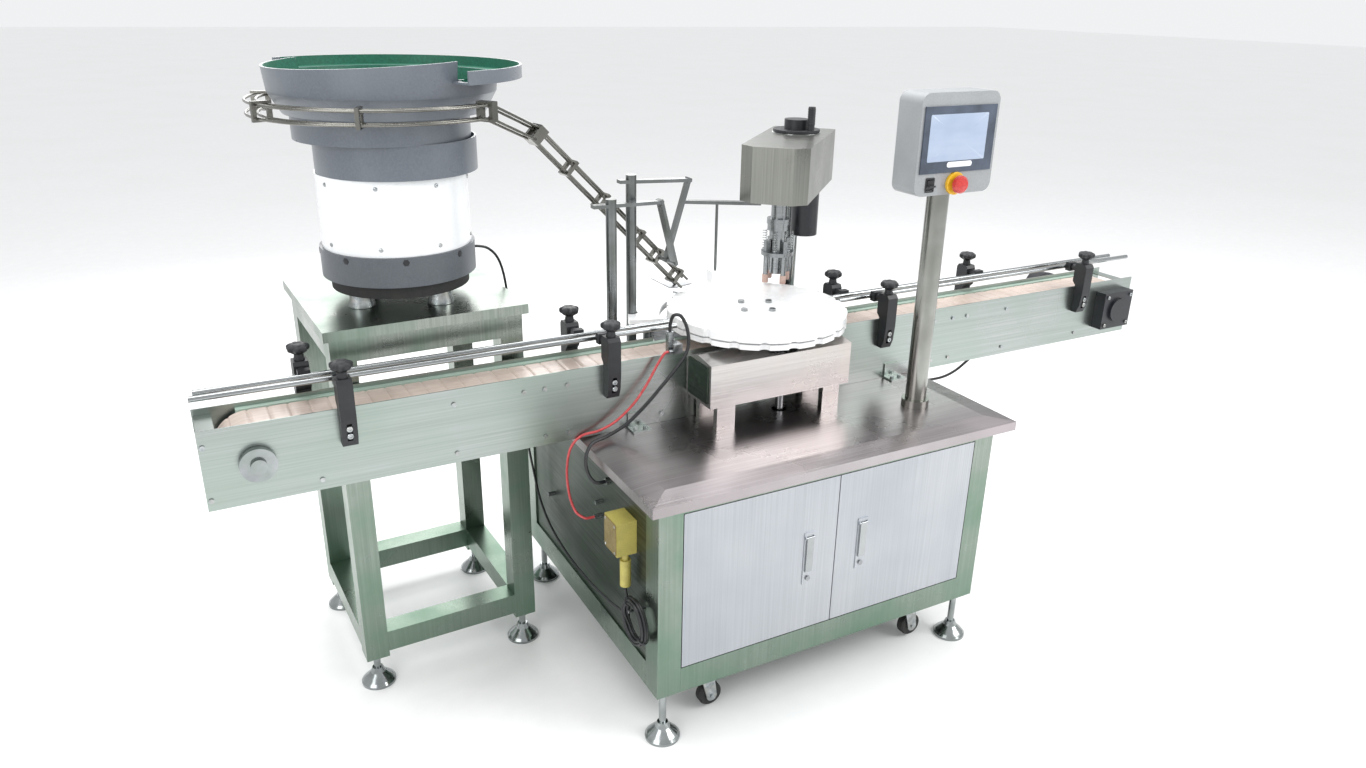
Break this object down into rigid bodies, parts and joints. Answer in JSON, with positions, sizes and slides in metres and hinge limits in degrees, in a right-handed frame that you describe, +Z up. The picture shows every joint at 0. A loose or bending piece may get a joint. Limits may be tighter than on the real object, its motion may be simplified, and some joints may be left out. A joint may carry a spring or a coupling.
{
  "type": "capping machine",
  "caption": "Rotary bottle capping machine: steel cabinet, slat conveyor through a star dial, capping head, vibratory cap feeder with rod chute, and touch panel.",
  "frame": {"origin": "middle of the footprint's bounding box, on the floor", "axes": "+X along the conveyor from infeed to outfeed, +Y from the door side to the back, +Z up"},
  "size_m": [2.557, 0.9739, 1.4004],
  "materials": {
    "frame_steel": "satin stainless tube with a faint green tint",
    "door_steel": "brushed stainless sheet, bluish",
    "panel_steel": "dark satin stainless sheet",
    "table_steel": "brushed stainless sheet, warm sheen",
    "conveyor_steel": "light satin stainless plate",
    "bright_steel": "polished stainless rod",
    "machined_steel": "turned and milled steel",
    "cover_paint": "grey satin sheet",
    "panel_paint": "silver grey powder coat",
    "bowl_paint": "slate grey enamel",
    "base_paint": "grey enamel over a casting",
    "drum_paint": "white gloss enamel",
    "motor_paint": "black satin paint",
    "black_plastic": "moulded black nylon",
    "black_rubber": "black rubber",
    "cable_black": "black cable sheath",
    "tube_red": "red polyurethane tube",
    "chain_plastic": "beige acetal slats",
    "strip_plastic": "natural polyethylene",
    "white_plastic": "white acetal",
    "screen": "dark glossy bezel",
    "red_plastic": "red moulded plastic",
    "box_plastic": "dull yellow moulded plastic",
    "zinc_steel": "zinc plated steel"
  },
  "bodies": {
    "base": {"cabinet_frame": "frame_steel", "tabletop": "table_steel", "cabinet_panels": "panel_steel", "levelling_feet": "zinc_steel", "conveyor_frame": "conveyor_steel", "conveyor_screws": "zinc_steel", "slat_chain": "chain_plastic", "wear_strips": "strip_plastic", "gear_motor": "motor_paint", "guide_rails": "bright_steel", "guide_brackets": "black_plastic", "guide_knobs": "black_plastic", "dial_base": "machined_steel", "index_drive": "base_paint", "gear_cover": "conveyor_steel", "outer_guide": "white_plastic", "gate_cylinder": "machined_steel", "head_column": "bright_steel", "head_cover": "cover_paint", "head_motor": "motor_paint", "cap_chute": "bright_steel", "chute_supports": "bright_steel", "stand_frame": "frame_steel", "feeder_base": "base_paint", "drum_shell": "drum_paint", "panel_post": "frame_steel", "panel_box": "panel_paint", "touch_screen": "screen", "junction_box": "box_plastic", "sensor_cable": "cable_black", "air_tube": "tube_red", "motor_cable": "cable_black", "feeder_cable": "cable_black", "cable_coil": "cable_black"},
    "left_door": {"left_door": "door_steel"},
    "right_door": {"right_door": "door_steel"},
    "left_lock_lever": {"left_lock_lever": "zinc_steel"},
    "right_lock_lever": {"right_lock_lever": "zinc_steel"},
    "left_lock_button": {"left_lock_button": "zinc_steel"},
    "right_lock_button": {"right_lock_button": "zinc_steel"},
    "drive_sprocket": {"drive_sprocket": "machined_steel"},
    "idler_sprocket": {"idler_sprocket": "machined_steel"},
    "dial": {"dial_disc": "white_plastic", "dial_hub": "machined_steel"},
    "drive_pinion": {"drive_pinion": "machined_steel"},
    "gate_rod": {"gate_rod": "bright_steel"},
    "quill": {"spindle_quill": "machined_steel"},
    "chuck": {"capping_chuck": "machined_steel"},
    "hand_wheel": {"hand_wheel": "black_plastic"},
    "bowl": {"feeder_bowl": "bowl_paint"},
    "stop_button": {"stop_button": "red_plastic"},
    "rocker_switch": {"rocker_switch": "black_plastic"},
    "caster_fork_front_left": {"caster_fork_front_left": "zinc_steel"},
    "caster_fork_front_right": {"caster_fork_front_right": "zinc_steel"},
    "caster_fork_back_left": {"caster_fork_back_left": "zinc_steel"},
    "caster_fork_back_right": {"caster_fork_back_right": "zinc_steel"},
    "caster_wheel_front_left": {"caster_wheel_front_left": "black_rubber"},
    "caster_wheel_front_right": {"caster_wheel_front_right": "black_rubber"},
    "caster_wheel_back_left": {"caster_wheel_back_left": "black_rubber"},
    "caster_wheel_back_right": {"caster_wheel_back_right": "black_rubber"}
  },
  "joints": [
    {"name": "left_door_hinge", "type": "hinge", "parent": "base", "child": "left_door", "pos_m": [-0.4325, -0.473, 0.377], "axis": [0, 0, -1], "range_deg": [0, 110]},
    {"name": "right_door_hinge", "type": "hinge", "parent": "base", "child": "right_door", "pos_m": [0.3255, -0.473, 0.377], "axis": [0, 0, 1], "range_deg": [0, 110]},
    {"name": "left_lever_hinge", "type": "hinge", "parent": "left_door", "child": "left_lock_lever", "pos_m": [-0.1265, -0.482, 0.429], "axis": [-1, 0, 0], "range_deg": [0, 40]},
    {"name": "left_button_press", "type": "slide", "parent": "left_door", "child": "left_lock_button", "axis": [0, 1, 0], "range_m": [0, 0.0025], "stiffness_N_per_m": 400},
    {"name": "right_lever_hinge", "type": "hinge", "parent": "right_door", "child": "right_lock_lever", "pos_m": [0.0195, -0.482, 0.429], "axis": [-1, 0, 0], "range_deg": [0, 40]},
    {"name": "right_button_press", "type": "slide", "parent": "right_door", "child": "right_lock_button", "axis": [0, 1, 0], "range_m": [0, 0.0025], "stiffness_N_per_m": 400},
    {"name": "caster_swivel_front_left", "type": "hinge", "parent": "base", "child": "caster_fork_front_left", "pos_m": [-0.3485, -0.408, 0.11], "axis": [0, 0, 1], "continuous": true},
    {"name": "caster_roll_front_left", "type": "hinge", "parent": "caster_fork_front_left", "child": "caster_wheel_front_left", "pos_m": [-0.3305, -0.408, 0.037], "axis": [0, 1, 0], "continuous": true},
    {"name": "caster_swivel_front_right", "type": "hinge", "parent": "base", "child": "caster_fork_front_right", "pos_m": [0.2415, -0.408, 0.11], "axis": [0, 0, 1], "continuous": true},
    {"name": "caster_roll_front_right", "type": "hinge", "parent": "caster_fork_front_right", "child": "caster_wheel_front_right", "pos_m": [0.2595, -0.408, 0.037], "axis": [0, 1, 0], "continuous": true},
    {"name": "caster_swivel_back_left", "type": "hinge", "parent": "base", "child": "caster_fork_back_left", "pos_m": [-0.3485, 0.232, 0.11], "axis": [0, 0, 1], "continuous": true},
    {"name": "caster_roll_back_left", "type": "hinge", "parent": "caster_fork_back_left", "child": "caster_wheel_back_left", "pos_m": [-0.3305, 0.232, 0.037], "axis": [0, 1, 0], "continuous": true},
    {"name": "caster_swivel_back_right", "type": "hinge", "parent": "base", "child": "caster_fork_back_right", "pos_m": [0.2415, 0.232, 0.11], "axis": [0, 0, 1], "continuous": true},
    {"name": "caster_roll_back_right", "type": "hinge", "parent": "caster_fork_back_right", "child": "caster_wheel_back_right", "pos_m": [0.2595, 0.232, 0.037], "axis": [0, 1, 0], "continuous": true},
    {"name": "drive_spin", "type": "hinge", "parent": "base", "child": "drive_sprocket", "pos_m": [1.1765, -0.065, 0.684], "axis": [0, 1, 0], "continuous": true},
    {"name": "idler_spin", "type": "hinge", "parent": "base", "child": "idler_sprocket", "pos_m": [-1.1795, -0.065, 0.684], "axis": [0, 1, 0], "continuous": true},
    {"name": "dial_spin", "type": "hinge", "parent": "base", "child": "dial", "pos_m": [-0.021, -0.0595, 0.804], "axis": [0, 0, -1], "continuous": true},
    {"name": "pinion_spin", "type": "hinge", "parent": "base", "child": "drive_pinion", "pos_m": [-0.021, -0.1795, 0.78], "axis": [0, 0, -1], "continuous": true},
    {"name": "gate_stroke", "type": "slide", "parent": "base", "child": "gate_rod", "axis": [0, 1, 0], "range_m": [0, 0.03]},
    {"name": "hand_wheel_turn", "type": "hinge", "parent": "base", "child": "hand_wheel", "pos_m": [0.22578, 0.17031, 1.2], "axis": [0, 0, 1], "range_deg": [0, 1080]},
    {"name": "quill_slide", "type": "slide", "parent": "base", "child": "quill", "axis": [0, 0, 1], "range_m": [0, 0.03]},
    {"name": "chuck_spin", "type": "hinge", "parent": "quill", "child": "chuck", "pos_m": [0.13669, 0.09818, 0.95], "axis": [0, 0, 1], "continuous": true},
    {"name": "bowl_twist", "type": "hinge", "parent": "base", "child": "bowl", "pos_m": [-0.8085, 0.198, 1.168], "axis": [0, 0, 1], "range_deg": [-0.5, 0.5], "stiffness_Nm_per_rad": 2000},
    {"name": "stop_press", "type": "slide", "parent": "base", "child": "stop_button", "axis": [0, 1, 0], "range_m": [0, 0.004], "stiffness_N_per_m": 900},
    {"name": "rocker_tilt", "type": "hinge", "parent": "base", "child": "rocker_switch", "pos_m": [0.2235, -0.351, 1.15], "axis": [1, 0, 0], "range_deg": [-20, 0]}
  ],
  "couplings": [
    {"joint": "idler_spin", "follows": "drive_spin", "ratio": 1},
    {"joint": "pinion_spin", "follows": "dial_spin", "ratio": -2},
    {"joint": "quill_slide", "follows": "hand_wheel_turn", "m_per_rad": 0.00159}
  ]
}
